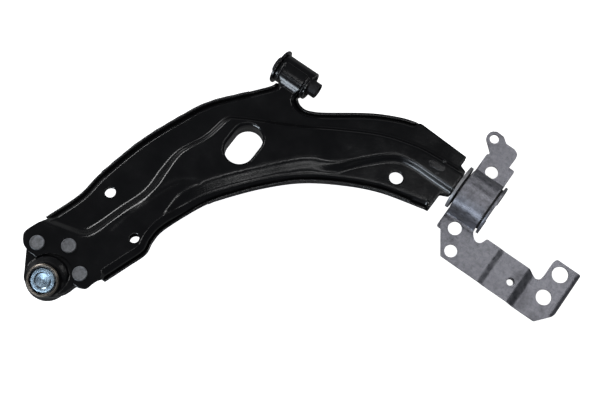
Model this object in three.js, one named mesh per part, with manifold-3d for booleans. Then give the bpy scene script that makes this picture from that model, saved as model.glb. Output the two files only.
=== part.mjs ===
// Front suspension control arm: two welded pressings with a riveted ball joint, a front bush in a
// welded eye, and a rear bush on a pin, held in a bolt-on bracket. Millimetres, +Z up.
//
// Hinge frame: X runs along the hinge axis from the front bush to the rear bush, Y across it, with
// the ball joint on the -Y side. The arm lies road side up, resting on the ball stud, the front
// bush and the rear bracket, so its pressings are turned about the hinge axis by ARM_TILT.

import * as THREE from 'three';
import { mergeVertices } from 'three/addons/utils/BufferGeometryUtils.js';
import Module from 'manifold-3d';

const wasm = await Module();
wasm.setup();

// ---- driving dimensions ---------------------------------------------------------------------

const ORIGIN = { x: 120.1, y: -128.5, z: -24.5 };   // bottom centre of the whole part, hinge frame
const ARM_TILT = THREE.MathUtils.degToRad(-5.9);    // ball end raised above the hinge axis
const GAP = 0.3;                                    // play between neighbouring pieces

const SHEET = 2.8;                                  // steel of both pressings
const FLAT_TOP = 6;                                 // road-side face of the arm's flats
const RIDGE_TOP = 14;                               // road-side face of the raised panel and nose
const CLOSING_BOTTOM = -2.9;                        // outer face of the closing shell's flats
const TROUGH_BOTTOM = -12;                          // outer face of the closing shell's trough
const SEAM_HEIGHT = 3;                              // top edge of the closing shell's flange
const FLANGE_FOOT = 0.2;                            // lower edge of the main shell's flange

const EYE = { radius: 15, bore: 12.2, from: -11, to: 21.5 };
const FRONT_FLANGE = { radius: 18.3, from: -17, thickness: 2.6 };
const FRONT_SLEEVE = { radius: 8, bore: 6.1, from: -21, to: 30.5 };
const TONGUE = { from: -8.5, to: 17 };              // sheet that wraps the eye

const PIN = { radius: 8.8, from: 150, to: 240 };
const DISC = { radius: 23.2, from: 200.4, to: 203.6 };
const BUSH = { radius: 21.6, sleeve: 11.6, from: 205.2, to: 239.4, flat: -15.1 };
const STRAP = { thickness: 2.8, from: 206, to: 237.5, foot: -12.6 };
const BASE = { from: 204.4, to: 237.2, low: -41.5, high: 49.2, top: -15.7, thickness: 2.6 };

const BALL = { radius: 12.5, centre: [-64.2, -310.9, 7.7], lean: [0.12, -0.36, 1] };
const CUTOUT = { x: -62, y: -310, radius: 23.7 };
const NOSE_END = -301;                              // straight end of the nose, on both sides of it
const STUD_LENGTH = 64.4;
const RIVETS = [[-92.1, -289.6], [-65.9, -274.3], [-40.3, -289.5]];
const RIVET = { head: 7.6, foot: 6.6, shank: 4 };
const PIN_WELD = { from: 168, to: 178, y: 1, radius: 4, crown: 0.8 };
const FLANGE = { top: RIDGE_TOP - SHEET - GAP, thickness: 5 };

const HOLES = [[-70.1, -207.5, 5.4], [-20.8, -231.5, 4.9], [146.5, -30.2, 6.9]];
const WINDOW = { x: 6.5, y: -92.8, width: 30, length: 43.5 };

// ---- materials ------------------------------------------------------------------------------

const steelPaint = (color, roughness) =>
  new THREE.MeshStandardMaterial({ color, roughness, metalness: 0.4 });
const coatedSteel = steelPaint('#0b0b0d', 0.28);
const phosphatedSteel = steelPaint('#6c6c72', 0.55);
const bareSteel = new THREE.MeshStandardMaterial({ color: '#8b8d8f', roughness: 0.45, metalness: 0.9 });
const zincPlate = new THREE.MeshStandardMaterial({ color: '#8fa3ad', roughness: 0.35, metalness: 0.9 });
const rubber = new THREE.MeshStandardMaterial({ color: '#141414', roughness: 0.8, metalness: 0 });
const polymer = new THREE.MeshStandardMaterial({ color: '#e4e0d4', roughness: 0.5, metalness: 0 });
const weldSteel = steelPaint('#26262a', 0.4);

// ---- solid helpers --------------------------------------------------------------------------

function solid(geometry, matrix = new THREE.Matrix4()) {
  const positions = geometry.clone().applyMatrix4(matrix);
  positions.deleteAttribute('normal');
  positions.deleteAttribute('uv');
  const merged = mergeVertices(positions, 1e-4);
  return new wasm.Manifold(new wasm.Mesh({
    numProp: 3,
    vertProperties: new Float32Array(merged.attributes.position.array),
    triVerts: new Uint32Array(merged.index.array),
  }));
}

function toGeometry(manifold) {
  const { vertProperties, triVerts } = manifold.getMesh();
  const geometry = new THREE.BufferGeometry();
  geometry.setAttribute('position', new THREE.BufferAttribute(vertProperties, 3));
  geometry.setIndex(new THREE.BufferAttribute(triVerts, 1));
  geometry.computeVertexNormals();
  return geometry;
}

function piece(name, manifold, material) {
  const mesh = new THREE.Mesh(toGeometry(manifold), material);
  mesh.name = name;
  return mesh;
}

function withoutDoubles(points, tolerance) {
  const kept = [];
  for (const point of points) {
    if (!kept.length || point.distanceTo(kept[kept.length - 1]) > tolerance) kept.push(point);
  }
  while (kept[0].distanceTo(kept[kept.length - 1]) < tolerance) kept.pop();
  return kept;
}

function distanceToSides(point, corners) {
  const side = new THREE.Line3();
  const nearest = new THREE.Vector3();
  const probe = new THREE.Vector3(point.x, point.y, 0);
  return Math.min(...corners.map((corner, i) => {
    const next = corners[(i + 1) % corners.length];
    side.start.set(corner.x, corner.y, 0);
    side.end.set(next.x, next.y, 0);
    return side.closestPointToPoint(probe, true, nearest).distanceTo(probe);
  }));
}

// The outline as one closed polygon whose sides are moved in by inset. Points that would fold over
// in a tight corner are left out.
function outlinePolygon(shape, curveSegments, inset = 0) {
  let points = withoutDoubles(shape.getPoints(curveSegments), 0.02);
  if (inset !== 0) {
    if (THREE.ShapeUtils.isClockWise(points)) points.reverse();
    const count = points.length;
    const inward = points.map((point, i) => {
      const side = points[(i + 1) % count].clone().sub(point).normalize();
      return new THREE.Vector2(-side.y, side.x);
    });
    const moved = points.map((point, i) => {
      const before = inward[(i + count - 1) % count];
      const miter = before.clone().add(inward[i]);
      return point.clone().addScaledVector(miter, inset / Math.max(0.5, 1 + before.dot(inward[i])));
    });
    const clear = moved.filter((point) => distanceToSides(point, points) > Math.abs(inset) - 0.05);
    points = withoutDoubles(clear, 0.3);
  }
  return new THREE.Shape(points);
}

// A slab of the outline between two heights. Its sides move in by inset, and its two faces by a
// further slope, over the height rise.
function slab(shape, low, high, { inset = 0, slope = 0, rise = 0, curveSegments = 3 } = {}) {
  const geometry = new THREE.ExtrudeGeometry(outlinePolygon(shape, curveSegments, inset), {
    depth: high - low - 2 * rise,
    bevelEnabled: slope > 0,
    bevelThickness: rise,
    bevelSize: slope,
    bevelOffset: -slope,
    bevelSegments: 1,
  });
  return solid(geometry, new THREE.Matrix4().makeTranslation(0, 0, low + rise));
}

const vectors = (points) => points.map(([x, y]) => new THREE.Vector2(x, y));

// A profile of [radius, height] pairs turned about the Z axis. It closes on the axis or on itself.
function lathe(profile, segments = 32, matrix = new THREE.Matrix4()) {
  const points = vectors(profile);
  if (THREE.ShapeUtils.area(points) < 0) points.reverse();
  if (points[0].x > 0) points.push(points[0].clone());
  const upright = new THREE.Matrix4().makeRotationX(Math.PI / 2);
  return solid(new THREE.LatheGeometry(points, segments), upright.premultiply(matrix));
}

// The same about the X axis, from [radius, X] pairs.
const ALONG_X = new THREE.Matrix4().makeRotationY(Math.PI / 2);
const turned = (profile, segments) => lathe(profile, segments, ALONG_X);

function ring(inner, outer, from, to, segments) {
  return turned([[inner, from], [outer, from], [outer, to], [inner, to]], segments);
}

function rod(radius, from, to, segments) {
  return turned([[0, from], [radius, from], [radius, to], [0, to]], segments);
}

// A profile in the YZ plane carried along X.
const ACROSS_X = new THREE.Matrix4().makeBasis(
  new THREE.Vector3(0, 1, 0), new THREE.Vector3(0, 0, 1), new THREE.Vector3(1, 0, 0));

function carriedAlongX(shape, from, to, curveSegments = 16) {
  const outline = outlinePolygon(shape, curveSegments);
  const geometry = new THREE.ExtrudeGeometry(outline, { depth: to - from, bevelEnabled: false });
  return solid(geometry, new THREE.Matrix4().makeTranslation(from, 0, 0).multiply(ACROSS_X));
}

// An XZ profile carried along Y.
function carriedAlongY(shape, from, to) {
  const geometry = new THREE.ExtrudeGeometry(shape, { depth: to - from, bevelEnabled: false });
  const turn = new THREE.Matrix4().makeRotationX(Math.PI / 2);
  return solid(geometry, new THREE.Matrix4().makeTranslation(0, to, 0).multiply(turn));
}

function polygon(points) {
  return new THREE.Shape(vectors(points));
}

function circle(x, y, radius) {
  const shape = new THREE.Shape();
  shape.absarc(x, y, radius, 0, 2 * Math.PI);
  return shape;
}

function hole(x, y, radius, low = -40, high = 40) {
  return slab(circle(x, y, radius), low, high, { curveSegments: 20 });
}

// ---- outlines of the pressings, in the arm's plane ------------------------------------------

function armOutline() {
  const shape = new THREE.Shape();
  shape.moveTo(-8, -12);
  shape.splineThru(vectors([
    [-10, -23], [-24, -41], [-50, -73.5], [-64.5, -104], [-80.5, -148], [-91, -197], [-94, -227],
    [-106.5, -265.5]]));
  shape.lineTo(-103.8, -270.8);
  shape.splineThru(vectors([[-109, -286.5], [-107, -293], [-101.5, -298.5], [-93.5, NOSE_END]]));
  const chord = Math.asin((NOSE_END - CUTOUT.y) / CUTOUT.radius);
  shape.absarc(CUTOUT.x, CUTOUT.y, CUTOUT.radius, Math.PI - chord, chord, true);
  shape.lineTo(-33.5, NOSE_END);
  shape.splineThru(vectors([[-27, -297.5], [-25, -290.5], [-23, -285], [-19.5, -280.5]]));
  shape.splineThru(vectors([[-11, -256], [-4.5, -236], [-6.5, -222], [-5, -205]]));
  shape.splineThru(vectors([
    [9, -168], [20, -150], [45, -118], [73, -90], [106, -68.3], [142, -51.5], [190.3, -39]]));
  shape.lineTo(190.6, -18);
  shape.lineTo(198.8, -14);
  shape.lineTo(198.8, 15);
  shape.lineTo(191.1, 18);
  shape.lineTo(191.1, 28.5);
  shape.lineTo(131.7, 31.5);
  shape.splineThru(vectors([
    [113.8, 25.5], [86.8, 11.3], [50, -15], [38, -22], [31, -24], [24, -22.5], [17, -15]]));
  shape.lineTo(17, -12);
  shape.closePath();
  return shape;
}

// Foot of the raised panel: its front edge from the nose to the tunnel over the rear pin.
const UPPER_FOOT = [
  [-54, -212], [-45, -186], [-46, -159], [-43.5, -134], [-31.6, -106], [-26.5, -80], [-15.5, -69.4],
  [37.6, -41], [72, -20], [107, -1], [137, 9], [160, 13], [202, 15.5]];

// Its rear edge from the tunnel, along the lower flange.
const LOWER_FOOT = [
  [180, -14.5], [152, -14.5], [134, -20], [111.5, -42], [92, -66], [68.7, -84], [39, -117.6],
  [17, -145], [4, -168], [-6, -203]];

function raisedOutline() {
  const shape = new THREE.Shape();
  shape.moveTo(-118, -264);
  shape.lineTo(-66, -250);
  shape.splineThru(vectors(UPPER_FOOT));
  shape.lineTo(202, -14.5);
  shape.splineThru(vectors(LOWER_FOOT));
  shape.lineTo(0, -225);
  shape.lineTo(-1, -310);
  shape.lineTo(-118, -310);
  shape.closePath();
  return shape;
}

function troughOutline() {
  const shape = new THREE.Shape();
  shape.moveTo(...UPPER_FOOT[1]);
  shape.splineThru(vectors(UPPER_FOOT.slice(2)));
  shape.lineTo(202, -14.5);
  shape.splineThru(vectors(LOWER_FOOT.slice(0, -1)));
  shape.closePath();
  return shape;
}

function windowOutline() {
  const half = WINDOW.width / 2;
  const reach = (WINDOW.length - WINDOW.width) / 2;
  const shape = new THREE.Shape();
  shape.absarc(WINDOW.x, WINDOW.y + reach, half, 0, Math.PI);
  shape.absarc(WINDOW.x, WINDOW.y - reach, half, Math.PI, 2 * Math.PI);
  shape.closePath();
  return shape;
}

// Outside these two outlines the pressings have no side flange.
const NOSE_ZONE = polygon([[-130, -264], [-62, -264], [-42, -281], [5, -283], [5, -345], [-130, -345]]);
const REAR_ZONE = polygon([[131, 12], [186, 12], [186, -60], [210, -60], [210, 45], [131, 45]]);

// A sheet sleeve wrapped over the eye, between two angles about the hinge axis.
function eyeWrap(start, end) {
  const shape = new THREE.Shape();
  const inner = EYE.radius + GAP;
  shape.absarc(0, 0, inner + SHEET, start, end);
  shape.absarc(0, 0, inner, end, start, true);
  shape.closePath();
  return carriedAlongX(shape, TONGUE.from, TONGUE.to);
}

// Room for the eye and for the rear pin, with play.
const eyeSpace = () => rod(EYE.radius + GAP, EYE.from - 25, EYE.to + 40);
const pinSpace = () => rod(PIN.radius + GAP, PIN.from - 1, PIN.to + 20);

// Sides of the raised panel and of the trough: they start at the flats' own level.
const PANEL_SLOPE = { slope: 4.5, rise: RIDGE_TOP - FLAT_TOP };

function mainShell() {
  const outline = armOutline();
  const side = SHEET + GAP;
  const raised = raisedOutline();
  const outer = slab(outline, FLANGE_FOOT, FLAT_TOP, { inset: side })
    .add(slab(raised, -20, RIDGE_TOP, PANEL_SLOPE)
      .intersect(slab(outline, FLANGE_FOOT, RIDGE_TOP + 1, { inset: side })));
  const hollow = slab(outline, -20, FLAT_TOP - SHEET, { inset: side + SHEET })
    .add(slab(raised, -30, RIDGE_TOP - SHEET, PANEL_SLOPE)
      .intersect(slab(outline, -30, RIDGE_TOP, { inset: side + SHEET })));
  const noseSheet = slab(outline, RIDGE_TOP - SHEET, RIDGE_TOP).intersect(slab(NOSE_ZONE, -40, 40));
  const wingSheet = slab(outline, FLAT_TOP - SHEET, FLAT_TOP)
    .intersect(slab(REAR_ZONE, -40, 40))
    .subtract(slab(raised, -20, RIDGE_TOP - SHEET, PANEL_SLOPE));
  const tunnelEnd = slab(raised, -20, RIDGE_TOP, PANEL_SLOPE)
    .subtract(slab(raised, -30, RIDGE_TOP - SHEET, PANEL_SLOPE))
    .intersect(slab(polygon([[180, -17], [199, -17], [199, 17], [180, 17]]), GAP, 30));
  const window = windowOutline();
  let shell = outer.subtract(hollow)
    .subtract(slab(NOSE_ZONE, -40, RIDGE_TOP - SHEET))
    .subtract(slab(REAR_ZONE, -40, FLAT_TOP - SHEET))
    .add(noseSheet)
    .add(wingSheet)
    .add(tunnelEnd)
    .add(eyeWrap(Math.PI * 0.46, Math.PI * 0.93))
    .add(slab(window, CLOSING_BOTTOM - 5, RIDGE_TOP, { inset: -SHEET }))
    .subtract(slab(window, -40, 40))
    .subtract(eyeSpace());
  for (const [x, y, radius] of HOLES) shell = shell.subtract(hole(x, y, radius));
  for (const [x, y] of RIVETS) shell = shell.subtract(hole(x, y, RIVET.shank + GAP));
  return shell.subtract(pinWeldSlot(GAP)).subtract(pinSpace());
}

function closingShell() {
  const outline = armOutline();
  const trough = troughOutline();
  const inner = CLOSING_BOTTOM + SHEET;
  const outer = slab(outline, CLOSING_BOTTOM, SEAM_HEIGHT)
    .add(slab(trough, TROUGH_BOTTOM, 10, PANEL_SLOPE).intersect(slab(outline, TROUGH_BOTTOM, 0)));
  const hollow = slab(outline, inner, 20, { inset: SHEET })
    .add(slab(trough, TROUGH_BOTTOM + SHEET, 20, PANEL_SLOPE));
  let shell = outer.subtract(hollow)
    .subtract(slab(NOSE_ZONE, -40, 40))
    .subtract(slab(REAR_ZONE, CLOSING_BOTTOM + SHEET, 40))
    .add(eyeWrap(Math.PI * 1.01, Math.PI * 1.4))
    .subtract(slab(windowOutline(), -40, 40, { inset: -SHEET - GAP }))
    .subtract(eyeSpace());
  for (const [x, y, radius] of HOLES) shell = shell.subtract(hole(x, y, radius + 1));
  return shell.subtract(pinSpace());
}

// ---- pin, eye and welds ---------------------------------------------------------------------

function pinWeldSlot(play) {
  const { from, to, y, radius, crown } = PIN_WELD;
  const shape = new THREE.Shape();
  shape.absarc(from, y, radius + play, Math.PI / 2, Math.PI * 1.5);
  shape.absarc(to, y, radius + play, -Math.PI / 2, Math.PI / 2);
  shape.closePath();
  return slab(shape, play > 0 ? 0 : PIN.radius + GAP, RIDGE_TOP + crown, { slope: 0.5, rise: crown });
}

function rearPin() {
  const { radius, from, to } = PIN;
  return turned([[0, from], [radius - 2, from], [radius, from + 3], [radius, to - 2], [radius - 2, to],
    [0, to]]);
}

function weldRing(x) {
  const shape = new THREE.Shape();
  const root = EYE.radius + GAP;
  shape.absarc(0, 0, root + 2.2, Math.PI * 0.45, Math.PI * 0.9);
  shape.absarc(0, 0, root, Math.PI * 0.9, Math.PI * 0.45, true);
  shape.closePath();
  return carriedAlongX(shape, x, x + 2.4);
}

// A weld bead on the closing shell's flange, against the main shell's side.
function seamBead(points) {
  const height = SEAM_HEIGHT + 1.4;
  const path = new THREE.CatmullRomCurve3(points.map(([x, y]) => new THREE.Vector3(x, y, height)));
  const section = circle(0, 0, 1.1);
  return solid(new THREE.ExtrudeGeometry(section, {
    steps: 24, curveSegments: 3, bevelEnabled: false, extrudePath: path }));
}

const LOWER_SEAM = [[12.5, -161], [21, -147.2], [44.2, -117], [72.2, -88.3], [105.3, -66.8],
  [141.5, -49.9], [172, -42]];
const UPPER_SEAM = [[-89.5, -197], [-79, -148.4], [-63.2, -104.7], [-48.9, -74.7], [-23, -42.2]];

// ---- front bush -----------------------------------------------------------------------------

function frontBushShell() {
  const outer = EYE.bore - GAP;
  const flangeEnd = FRONT_FLANGE.from + FRONT_FLANGE.thickness;
  return turned([
    [outer - 1.4, FRONT_FLANGE.from], [FRONT_FLANGE.radius - 0.8, FRONT_FLANGE.from],
    [FRONT_FLANGE.radius, FRONT_FLANGE.from + 0.8], [FRONT_FLANGE.radius, flangeEnd],
    [outer, flangeEnd], [outer, EYE.to - 1], [outer - 1.4, EYE.to - 1]]);
}

function frontBushRubber() {
  const outer = EYE.bore - 1.4 - 2 * GAP;
  const inner = FRONT_SLEEVE.radius + GAP;
  return turned([
    [inner, FRONT_FLANGE.from + 0.6], [outer, FRONT_FLANGE.from + 1.6], [outer, EYE.to - 2.4],
    [inner, EYE.to - 0.6]]);
}

// ---- rear bush and bracket ------------------------------------------------------------------

function dShape(radius, flat) {
  const shape = new THREE.Shape();
  shape.moveTo(-radius, flat);
  shape.lineTo(radius, flat);
  shape.absarc(0, 0, radius, 0, Math.PI);
  shape.closePath();
  return shape;
}

function rearBushRubber() {
  return carriedAlongX(dShape(BUSH.radius, BUSH.flat), BUSH.from, BUSH.to)
    .subtract(rod(BUSH.sleeve + GAP, 190, 260));
}

function rearEndRing() {
  return carriedAlongX(dShape(BUSH.radius + 3.8, BUSH.flat - 0.2), BUSH.to + GAP, BUSH.to + 2.9)
    .subtract(rod(BUSH.radius - 3.6, 190, 260));
}

// Plan of the strap's two tabs and of the stepped arm that runs out from the lower one.
function upperTab() {
  const shape = new THREE.Shape();
  shape.moveTo(STRAP.from, 20);
  shape.lineTo(STRAP.from, 31);
  shape.lineTo(204.5, 41);
  shape.lineTo(206.5, 50);
  shape.splineThru(vectors([[202, 54], [194.6, 61], [194.8, 68.5], [200, 72.6]]));
  shape.lineTo(208.5, 72);
  shape.lineTo(214.5, 67.3);
  shape.lineTo(224.5, 67.3);
  shape.splineThru(vectors([[229.5, 64.5], [230.8, 60]]));
  shape.lineTo(230.5, 48);
  shape.lineTo(STRAP.to, 29);
  shape.lineTo(STRAP.to, 20);
  shape.closePath();
  return shape;
}

function lowerTabAndArm() {
  const shape = new THREE.Shape();
  shape.moveTo(STRAP.from, -20);
  shape.lineTo(STRAP.from - 0.6, -36);
  shape.lineTo(225, -65);
  shape.lineTo(336.5, -65);
  shape.lineTo(349.5, -46);
  shape.lineTo(348.5, -0.5);
  shape.lineTo(322.5, -0.5);
  shape.splineThru(vectors([[320.2, -4], [320, -22]]));
  shape.splineThru(vectors([[318, -27.5], [314.5, -28.8]]));
  shape.lineTo(304, -24.5);
  shape.lineTo(253, -24.5);
  shape.splineThru(vectors([[250, -31.5], [245, -33], [240.5, -30], [238.2, -26], [STRAP.to, -20]]));
  shape.closePath();
  return shape;
}

// Side view of the stepped arm: the sheet's top face, running out along +X.
const STEP = { first: 272, second: 304, run: 8, drop: 1.8, fall: 5.8, lip: 3.3, end: 349.2 };

function armSection() {
  const { first, second, run, drop, fall, lip, end } = STEP;
  const { thickness, foot } = STRAP;
  const top = [[190, 0], [first, 0], [first + 5, -drop], [second, -drop], [second + run, -fall],
    [end - 3.5, -fall], [end, -fall - 3], [end, -fall - thickness - lip]];
  const under = [[end - thickness, -fall - lip], [end - thickness, -fall - 1.6], [end - 5, -fall],
    [second + run, -fall], [second, -drop], [first + 5, -drop], [first, 0], [190, 0]];
  return polygon([
    ...top.map(([x, z]) => [x, foot + z]),
    ...under.map(([x, z]) => [x, foot - thickness + z])]);
}

const BRACKET_HOLES = [[202, 64.6, 4.7], [219.1, 34.4, 6.6], [221.1, -33.9, 6.9],
  [230.6, -54.9, 6.4], [295.2, -46.3, 4.2], [331.2, -11.6, 8.2], [330.3, -39.5, 7.8]];

function bracketStrap() {
  const { thickness, foot, from, to } = STRAP;
  const inner = BUSH.radius + GAP;
  const low = foot - thickness;
  const saddle = carriedAlongX(dShape(inner + thickness, low), from, to)
    .subtract(carriedAlongX(dShape(inner, low - 5), from - 1, to + 1));
  const tabs = slab(upperTab(), low, foot)
    .add(carriedAlongY(armSection(), -70, 5).intersect(slab(lowerTabAndArm(), -40, 40)));
  let strap = tabs.subtract(carriedAlongX(dShape(inner, low - 5), 190, 260))
    .add(saddle);
  for (const [x, y, radius] of BRACKET_HOLES) strap = strap.subtract(hole(x, y, radius));
  return strap;
}

function bracketBase() {
  const outline = polygon([[BASE.from, BASE.low], [BASE.to, BASE.low], [BASE.to, BASE.high],
    [BASE.from, BASE.high]]);
  let base = slab(outline, BASE.top - BASE.thickness, BASE.top, { slope: 0.4, rise: 0.4 });
  for (const [x, y, radius] of BRACKET_HOLES.slice(1, 3)) base = base.subtract(hole(x, y, radius));
  return base;
}

function bracketNut() {
  const [x, y] = BRACKET_HOLES[4];
  const top = STRAP.foot - STRAP.thickness - STEP.drop - 0.1;
  return slab(circle(x, y, 7), top - 5.4, top, { curveSegments: 6 }).subtract(hole(x, y, 3.5));
}

// ---- ball joint, about its own axis: +Z is the closed end -----------------------------------

function arcPoints(radius, start, end, steps) {
  const points = [];
  for (let i = 0; i <= steps; i += 1) {
    const angle = start + (end - start) * i / steps;
    points.push([radius * Math.cos(angle), radius * Math.sin(angle)]);
  }
  return points;
}

const jointAxis = new THREE.Vector3(...BALL.lean).normalize();
const jointTurn = new THREE.Quaternion().setFromUnitVectors(new THREE.Vector3(0, 0, 1), jointAxis);
const jointFrame = new THREE.Matrix4().compose(
  new THREE.Vector3(...BALL.centre), jointTurn, new THREE.Vector3(1, 1, 1));

const SEAT_RADIUS = 15;

function ballHousing() {
  const body = lathe([
    [SEAT_RADIUS, -8], [13, -11.5], [14.5, -14], [17, -14], [17, -7], [20.5, -6], [21.6, -2], [21.6, 1],
    [17.5, 6], [16.4, 8], [15.6, 15.8], [14.8, 16.6], [12.6, 16.2], [12.4, 15.4], [14, 14.5], [14, 11],
    [SEAT_RADIUS, 10]]);
  const plan = new THREE.Shape();
  plan.moveTo(-106, -284);
  plan.lineTo(-101, -279);
  plan.splineThru(vectors([[-84, -271], [-76, -266.5], [-57, -266.5], [-48, -274]]));
  plan.splineThru(vectors([[-34, -282], [-32.5, -293], [-37, -302]]));
  plan.splineThru(vectors([[-41, -314], [-52, -325], [-66, -329], [-80, -325], [-87, -316], [-98, -300]]));
  plan.closePath();
  const flange = slab(plan, FLANGE.top - FLANGE.thickness, FLANGE.top, { slope: 0.6, rise: 0.6 });
  let housing = body.transform(jointFrame.toArray()).add(flange)
    .subtract(lathe([
      [0, -40], [14.5, -40], [14.5, -14], [13, -11.5], [SEAT_RADIUS, -8], [SEAT_RADIUS, 10], [14, 11],
      [14, 14.5], [12.4, 15.4], [12.4, 40], [0, 40]]).transform(jointFrame.toArray()));
  for (const [x, y] of RIVETS) housing = housing.subtract(hole(x, y, RIVET.shank + GAP));
  return housing;
}

function ballCover() {
  return lathe([
    [0, 12.8], [6, 12.8], [7, 13], [13.6, 13], [13.6, 14.1], [12.1, 14.3], [11.6, 15.2], [8, 15.2],
    [6.8, 14.1], [0, 14]]);
}

function ballSeat() {
  const bore = BALL.radius + GAP;
  const lip = Math.asin(-6.4 / bore);
  return lathe([[SEAT_RADIUS - GAP, -6.1], [SEAT_RADIUS - GAP, 9.8], [9, 10.4],
    ...arcPoints(bore, Math.asin(10 / bore), lip, 8)]);
}

function ballStud() {
  const tip = -STUD_LENGTH;
  const ball = arcPoints(BALL.radius, Math.PI / 2, Math.asin(-10 / BALL.radius), 10);
  ball[0][0] = 0;
  return lathe([
    ...ball,
    [7, -13], [7, -18], [9, -22], [9, -44], [7.6, -46.5], [7.6, -49.5], [9, -52], [9, tip + 2],
    [7.4, tip], [0, tip]], 32);
}

function dustBoot() {
  return lathe([
    [17.4, -10.8], [18.6, -10.8], [18.6, -13.4], [20.8, -16.3], [19.8, -20.8], [15, -24.8], [11.4, -26.8],
    [11.2, -30.3], [9.3, -30.3], [9.3, -25.5], [13.6, -23.1], [17.8, -19.7], [18.6, -16.5], [17.4, -14.4]]);
}

const bootRing = (inner, outer, low, high) =>
  lathe([[inner, low], [outer, low], [outer, high], [inner, high]]);

function rivet(x, y) {
  const low = FLANGE.top - FLANGE.thickness;
  const plate = (radius, from, to, chamfer) =>
    slab(circle(x, y, radius), from, to, { slope: chamfer, rise: chamfer, curveSegments: 16 });
  return plate(RIVET.shank, low - 1, RIDGE_TOP + 1, 0)
    .add(plate(RIVET.head, RIDGE_TOP + GAP / 3, RIDGE_TOP + 2.6, 0.9))
    .add(plate(RIVET.foot, low - 3, low - GAP / 3, 1));
}

// ---- assembly -------------------------------------------------------------------------------

const arm = new THREE.Group();
arm.rotation.x = ARM_TILT;
arm.add(
  piece('main_shell', mainShell(), coatedSteel),
  piece('closing_shell', closingShell(), coatedSteel),
  piece('lower_seam_weld', seamBead(LOWER_SEAM), weldSteel),
  piece('upper_seam_weld', seamBead(UPPER_SEAM), weldSteel),
  piece('front_eye', ring(EYE.bore, EYE.radius, EYE.from - 2.9, EYE.to), coatedSteel),
  piece('front_eye_weld_1', weldRing(TONGUE.from - 2.4 - GAP), weldSteel),
  piece('front_eye_weld_2', weldRing(TONGUE.to + GAP), weldSteel),
  piece('rear_pin', rearPin(), coatedSteel),
  piece('rear_pin_weld', pinWeldSlot(0), weldSteel),
);
RIVETS.forEach(([x, y], index) => arm.add(piece(`ball_rivet_${index + 1}`, rivet(x, y), bareSteel)));
arm.add(piece('ball_housing', ballHousing(), coatedSteel));

const joint = new THREE.Group();
joint.position.set(...BALL.centre);
joint.quaternion.copy(jointTurn);
joint.add(
  piece('ball_cover', ballCover(), zincPlate),
  piece('ball_seat', ballSeat(), polymer),
  piece('ball_stud', ballStud(), bareSteel),
  piece('dust_boot', dustBoot(), rubber),
  piece('boot_base_ring', bootRing(18.9, 20.2, -13, -11), bareSteel),
  piece('boot_neck_ring', bootRing(11.6, 12.7, -29.8, -27.6), bareSteel),
);
arm.add(joint);

const part = new THREE.Group();
part.position.set(-ORIGIN.x, -ORIGIN.y, -ORIGIN.z);
part.add(
  arm,
  piece('front_bush_shell', frontBushShell(), coatedSteel),
  piece('front_bush_rubber', frontBushRubber(), rubber),
  piece('front_bush_sleeve', ring(FRONT_SLEEVE.bore, FRONT_SLEEVE.radius, FRONT_SLEEVE.from,
    FRONT_SLEEVE.to), coatedSteel),
  piece('rear_bush_disc', ring(PIN.radius + GAP, DISC.radius, DISC.from, DISC.to), bareSteel),
  piece('rear_bush_sleeve', ring(PIN.radius + GAP, BUSH.sleeve, BUSH.from, BUSH.to), bareSteel),
  piece('rear_bush_rubber', rearBushRubber(), rubber),
  piece('rear_bush_end_ring', rearEndRing(), phosphatedSteel),
  piece('bracket_strap', bracketStrap(), phosphatedSteel),
  piece('bracket_base', bracketBase(), phosphatedSteel),
  piece('bracket_nut', bracketNut(), phosphatedSteel),
);

export default part;
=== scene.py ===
"""Front suspension control arm: stamped shells, welded eye, bushes, bracket and riveted ball joint.

Shapes are made in millimetres in the hinge frame (X along the hinge axis, the ball joint towards -Y)
or in the arm's own plane, and then moved into the row frame in metres.
"""

import math

import bmesh
import bpy
import numpy as np
from mathutils import Matrix, Vector
from mathutils.geometry import delaunay_2d_cdt
from mathutils.kdtree import KDTree


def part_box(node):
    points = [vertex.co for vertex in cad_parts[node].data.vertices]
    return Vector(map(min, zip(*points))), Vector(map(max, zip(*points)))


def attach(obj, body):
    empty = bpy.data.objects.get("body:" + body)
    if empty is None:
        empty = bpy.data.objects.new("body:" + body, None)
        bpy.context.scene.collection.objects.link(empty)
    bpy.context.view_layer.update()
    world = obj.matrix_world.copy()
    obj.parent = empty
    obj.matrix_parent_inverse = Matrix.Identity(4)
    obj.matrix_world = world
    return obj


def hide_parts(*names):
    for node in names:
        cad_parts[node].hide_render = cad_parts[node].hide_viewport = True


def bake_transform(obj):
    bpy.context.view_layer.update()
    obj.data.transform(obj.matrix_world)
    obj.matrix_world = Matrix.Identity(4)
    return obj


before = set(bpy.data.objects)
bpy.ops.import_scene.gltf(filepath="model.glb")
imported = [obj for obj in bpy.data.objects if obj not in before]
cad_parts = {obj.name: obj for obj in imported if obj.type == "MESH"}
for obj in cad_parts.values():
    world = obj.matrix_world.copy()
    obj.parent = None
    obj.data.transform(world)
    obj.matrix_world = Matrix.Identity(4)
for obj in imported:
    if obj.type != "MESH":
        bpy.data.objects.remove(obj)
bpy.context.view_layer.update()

# ---- frames and driving dimensions, in millimetres ------------------------------------------------

SLEEVE_START = -21.0
ARM_TILT = math.radians(-5.9)
SHEET = 2.8
FLAT_TOP = 6.0
RIDGE_TOP = 14.0
CLOSING_BOTTOM = -2.9
TROUGH_BOTTOM = -12.0
SEAM_INSET = 3.1
SEAM_HEIGHT = 3.0
EYE_WRAP = 18.1
BALL_CENTRE = Vector((-64.2, -310.9, 7.7))
BALL_LEAN = Vector((0.12, -0.36, 1.0))
CUTOUT = (-62.0, -310.0, 23.7)
NOSE_END = -301.0
NECK_EDGE = 28.0
RIVETS = ((-92.1, -289.6), (-65.9, -274.3), (-40.3, -289.5))
ARM_HOLES = ((-70.1, -207.5, 5.4), (-20.8, -231.5, 4.9), (146.5, -30.2, 6.9))

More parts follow.
